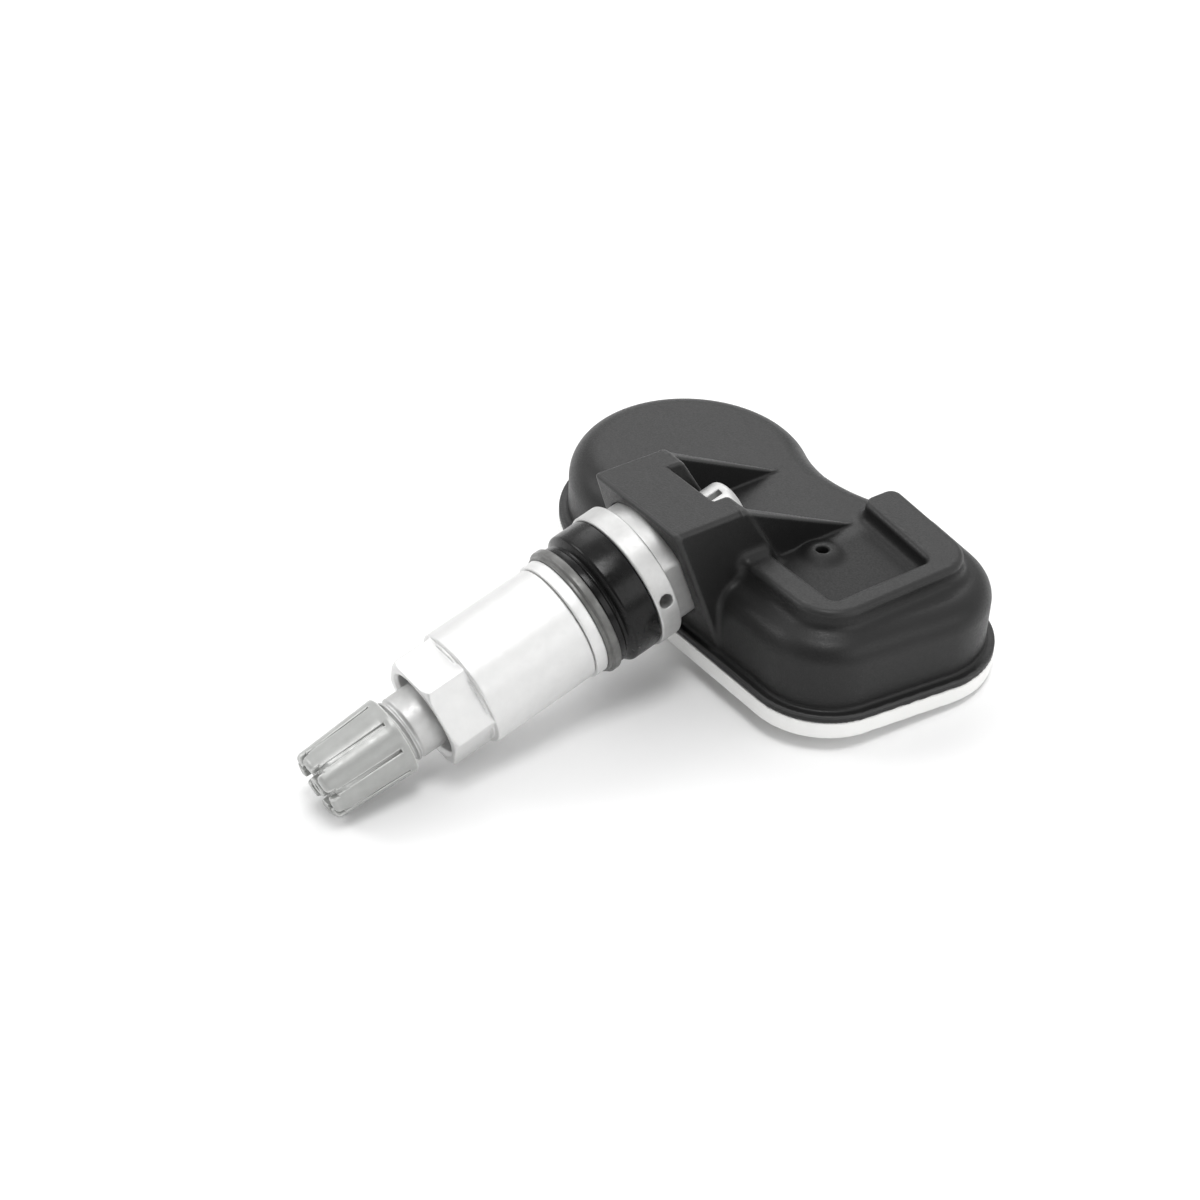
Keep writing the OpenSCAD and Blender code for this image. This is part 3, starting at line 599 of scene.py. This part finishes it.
def material(name, color, rough, metallic=0.0, spec=0.5, grain=None, vary=None, tone=None, extra=None):
    """color with a soft variation tone=(scale, amount), roughness variation
    vary=(scale, amount) and bump grain=(scale, strength, distance)."""
    mat = bpy.data.materials.new(name)
    mat.use_nodes = True
    tree = mat.node_tree
    bsdf = tree.nodes["Principled BSDF"]
    bsdf.inputs["Metallic"].default_value = metallic
    bsdf.inputs["Specular IOR Level"].default_value = spec
    bsdf.inputs["Roughness"].default_value = rough
    bsdf.inputs["Base Color"].default_value = (*color, 1)
    coord = tree.nodes.new("ShaderNodeTexCoord")

    def noise(scale, detail=4.0):
        node = tree.nodes.new("ShaderNodeTexNoise")
        node.inputs["Scale"].default_value = scale
        node.inputs["Detail"].default_value = detail
        tree.links.new(coord.outputs["Object"], node.inputs["Vector"])
        return node.outputs["Fac"]

    if tone:
        level = map_range(tree, noise(tone[0]), (0.3, 0.7), (1 - tone[1], 1 + tone[1]))
        scale_color(tree, bsdf, level.outputs[0])
    if vary:
        level = map_range(tree, noise(vary[0]), (0.3, 0.7), (rough - vary[1], rough + vary[1]))
        tree.links.new(level.outputs[0], bsdf.inputs["Roughness"])
    if grain:
        bump = tree.nodes.new("ShaderNodeBump")
        bump.inputs["Strength"].default_value = grain[1]
        bump.inputs["Distance"].default_value = grain[2]
        tree.links.new(noise(grain[0], 3.0), bump.inputs["Height"])
        tree.links.new(bump.outputs[0], bsdf.inputs["Normal"])
    if extra:
        extra(tree, bsdf)
    return mat


def attribute(tree, name):
    node = tree.nodes.new("ShaderNodeAttribute")
    node.attribute_name = name
    return node.outputs["Fac"]


def painted_edge_highlight(bend_span, gain):
    """Paints a highlight into the colour where the surface turns sharply outwards."""
    def add(tree, bsdf):
        # Painted highlight: the colour is raised where the bend is high
        level = map_range(tree, attribute(tree, "bend"), bend_span, (1, gain))
        scale_color(tree, bsdf, level.outputs[0])
    return add


def case_look(tree, bsdf):
    """Painted highlight on sharp edges, and a rougher floor inside the ridge."""
    # Painted highlight along the case's sharp outward edges
    painted_edge_highlight((0.9, 2.4), 3.2)(tree, bsdf)
    rough = bsdf.inputs["Roughness"].links[0].from_socket
    add = tree.nodes.new("ShaderNodeMath")
    add.operation = "MULTIPLY_ADD"
    add.inputs[1].default_value = 0.14
    tree.links.new(attribute(tree, "inset"), add.inputs[0])
    tree.links.new(rough, add.inputs[2])
    tree.links.new(add.outputs[0], bsdf.inputs["Roughness"])


def paint(obj, mat):
    obj.data.materials.clear()
    obj.data.materials.append(mat)


black = material("black_moulding", (0.0132, 0.0132, 0.0132), 0.42, spec=0.30, tone=(400, 0.05),
                 vary=(4200, 0.08), grain=(5200, 0.5, 0.00005), extra=case_look)
pale = material("pale_plate", (0.94, 0.94, 0.925), 0.42, tone=(300, 0.012), grain=(5000, 0.04, 0.00004))
bright = material("satin_aluminium", (0.75, 0.75, 0.745), 0.50, metallic=0.75, tone=(700, 0.02),
                  vary=(1500, 0.04), grain=(14000, 0.10, 0.00003))
turned = material("turned_aluminium", (0.57, 0.57, 0.565), 0.50, metallic=0.8, tone=(900, 0.04),
                  vary=(2200, 0.06), grain=(12000, 0.12, 0.00003))
rubber = material("black_rubber", (0.005, 0.005, 0.005), 0.24, spec=0.22, tone=(500, 0.10),
                  vary=(1300, 0.07), grain=(6000, 0.08, 0.00004))
grey_ring = material("grey_ring", (0.14, 0.14, 0.135), 0.36, metallic=0.35, tone=(1100, 0.16),
                     vary=(1500, 0.08), grain=(5000, 0.10, 0.00004))
# The cap's lands and grooves get a painted highlight along their sharp edges
grey_cap = material("grey_cap", (0.39, 0.395, 0.385), 0.36, metallic=0.25, tone=(700, 0.06),
                    vary=(1600, 0.07), grain=(5000, 0.08, 0.00004), extra=painted_edge_highlight((1.5, 5.0), 1.45))

paint(case, black)
paint(plate, pale)
paint(collar, turned)
paint(shank, turned)
paint(nut, bright)
paint(washer, bright)
paint(ring, grey_ring)
paint(grommet, rubber)
paint(cap, grey_cap)

# Solids that keep their own shape: colour, roughness and metal
INNER = {
    "cap_gasket": ((0.05, 0.05, 0.05), 0.5, 0),
    "core_body": ((0.72, 0.55, 0.26), 0.3, 1),
    "core_seal": ((0.03, 0.03, 0.03), 0.5, 0),
    "core_pin": ((0.74, 0.60, 0.32), 0.3, 1),
    "core_poppet": ((0.05, 0.05, 0.05), 0.5, 0),
    "core_spring": ((0.60, 0.60, 0.60), 0.3, 1),
    "circuit_board": ((0.02, 0.16, 0.07), 0.4, 0),
    "battery_cell": ((0.72, 0.72, 0.73), 0.28, 1),
    "battery_tab_top": ((0.70, 0.69, 0.66), 0.3, 1),
    "battery_tab_bottom": ((0.70, 0.69, 0.66), 0.3, 1),
    "pressure_sensor": ((0.06, 0.06, 0.06), 0.5, 0),
    "port_seal": ((0.08, 0.08, 0.08), 0.6, 0),
    "ferrite_core": ((0.09, 0.09, 0.10), 0.5, 0),
    "ferrite_coil": ((0.62, 0.30, 0.12), 0.35, 1),
    "controller_chip": ((0.03, 0.03, 0.03), 0.5, 0),
    "crystal": ((0.70, 0.70, 0.68), 0.3, 1),
    "capacitors": ((0.52, 0.38, 0.22), 0.5, 0),
    "antenna_loop": ((0.70, 0.42, 0.20), 0.35, 1),
}
for node, (color, rough, metal) in INNER.items():
    paint(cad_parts[node], material("inner_" + node, color, rough, metallic=metal,
                                         tone=(800, 0.05), grain=(6000, 0.05, 0.00003)))

# Camera, found from the photograph: square to the case, then laid down with it
PHOTO = 1200
AZIMUTH, ELEVATION, ROLL = math.radians(53.3117), math.radians(36.0687), math.radians(-2.0468)
FOCAL, DISTANCE, ORIGIN_X, ORIGIN_Y = 2211.094, 251.1755, 616.2549, 582.3803
SENSOR = 36
to_camera = np.array([math.sin(AZIMUTH) * math.cos(ELEVATION), -math.cos(AZIMUTH) * math.cos(ELEVATION),
                      math.sin(ELEVATION)])
rightward = np.array([math.cos(AZIMUTH), math.sin(AZIMUTH), 0.0])
upward = np.cross(to_camera, rightward)
roll = np.array([[math.cos(ROLL), -math.sin(ROLL), 0], [math.sin(ROLL), math.cos(ROLL), 0], [0, 0, 1]])
axes = roll @ np.array([rightward, upward, to_camera])
aim = np.array([-(ORIGIN_X - PHOTO / 2) / FOCAL, (ORIGIN_Y - PHOTO / 2) / FOCAL, 1]) * DISTANCE
lay_down = np.array(CASE_TO_ROW.to_3x3())
axes_row = axes @ lay_down.T
eye = lay_down @ axes.T @ aim * MM
lens = bpy.data.cameras.new("camera")
lens.sensor_width = SENSOR
lens.lens = FOCAL / PHOTO * SENSOR
lens.clip_start = 0.01
camera = bpy.data.objects.new("camera", lens)
bpy.context.scene.collection.objects.link(camera)
camera.matrix_world = Matrix([[*axes_row[:, i], eye[i]] for i in range(3)] + [[0, 0, 0, 1]])
bpy.context.scene.camera = camera
bpy.context.scene.view_settings.view_transform = "Standard"

# Floor
floor_z = cad_box[0][2]
bpy.ops.mesh.primitive_plane_add(size=6, location=(0, 0, floor_z))
floor = bpy.context.object
floor.name = "floor"
paint(floor, material("floor_white", (0.93, 0.93, 0.93), 0.9, spec=0.1))

# Air round the part: brighter overhead, and dimmer on the side the camera stands on,
# as in a studio with its lamps above and behind
world = bpy.data.worlds.new("soft_world")
bpy.context.scene.world = world
world.use_nodes = True
sky = world.node_tree
air = sky.nodes["Background"]
air.inputs["Color"].default_value = (1, 1, 1, 1)
toward = sky.nodes.new("ShaderNodeTexCoord").outputs["Generated"]
height = sky.nodes.new("ShaderNodeSeparateXYZ")
sky.links.new(toward, height.inputs[0])
glow = map_range(sky, height.outputs["Z"], (0, 1), (0.60, 0.96))
facing = sky.nodes.new("ShaderNodeVectorMath")
facing.operation = "DOT_PRODUCT"
facing.inputs[1].default_value = (0.648, -0.483, 0.589)
sky.links.new(toward, facing.inputs[0])
dim = map_range(sky, facing.outputs["Value"], (0.35, 0.95), (1, 0.3))
dim.interpolation_type = "SMOOTHSTEP"
level = sky.nodes.new("ShaderNodeMath")
level.operation = "MULTIPLY"
sky.links.new(glow.outputs[0], level.inputs[0])
sky.links.new(dim.outputs[0], level.inputs[1])
sky.links.new(level.outputs[0], air.inputs["Strength"])


# Lamps
def area(name, place, size, power):
    """A rectangular lamp at place, in metres, that faces the part."""
    light = bpy.data.lights.new(name, "AREA")
    light.shape = "RECTANGLE"
    light.size, light.size_y = size
    light.energy = power
    obj = bpy.data.objects.new(name, light)
    bpy.context.scene.collection.objects.link(obj)
    place = np.array(place, float)
    away = place / np.linalg.norm(place)
    across = np.cross((0, 0, 1), away)
    across = across / np.linalg.norm(across)
    up = np.cross(away, across)
    obj.matrix_world = Matrix([[across[i], up[i], away[i], place[i]] for i in range(3)] + [[0, 0, 0, 1]])


area("key", (-0.62, 0.47, 0.65), (0.8, 0.55), 2.9)
area("side", (0.9, 0.3, 0.5), (0.9, 0.6), 2.9)
area("top", (0.16, -0.06, 0.9), (0.3, 0.3), 3.0)
area("left", (-0.62, -0.48, 0.56), (0.4, 0.4), 2.2)
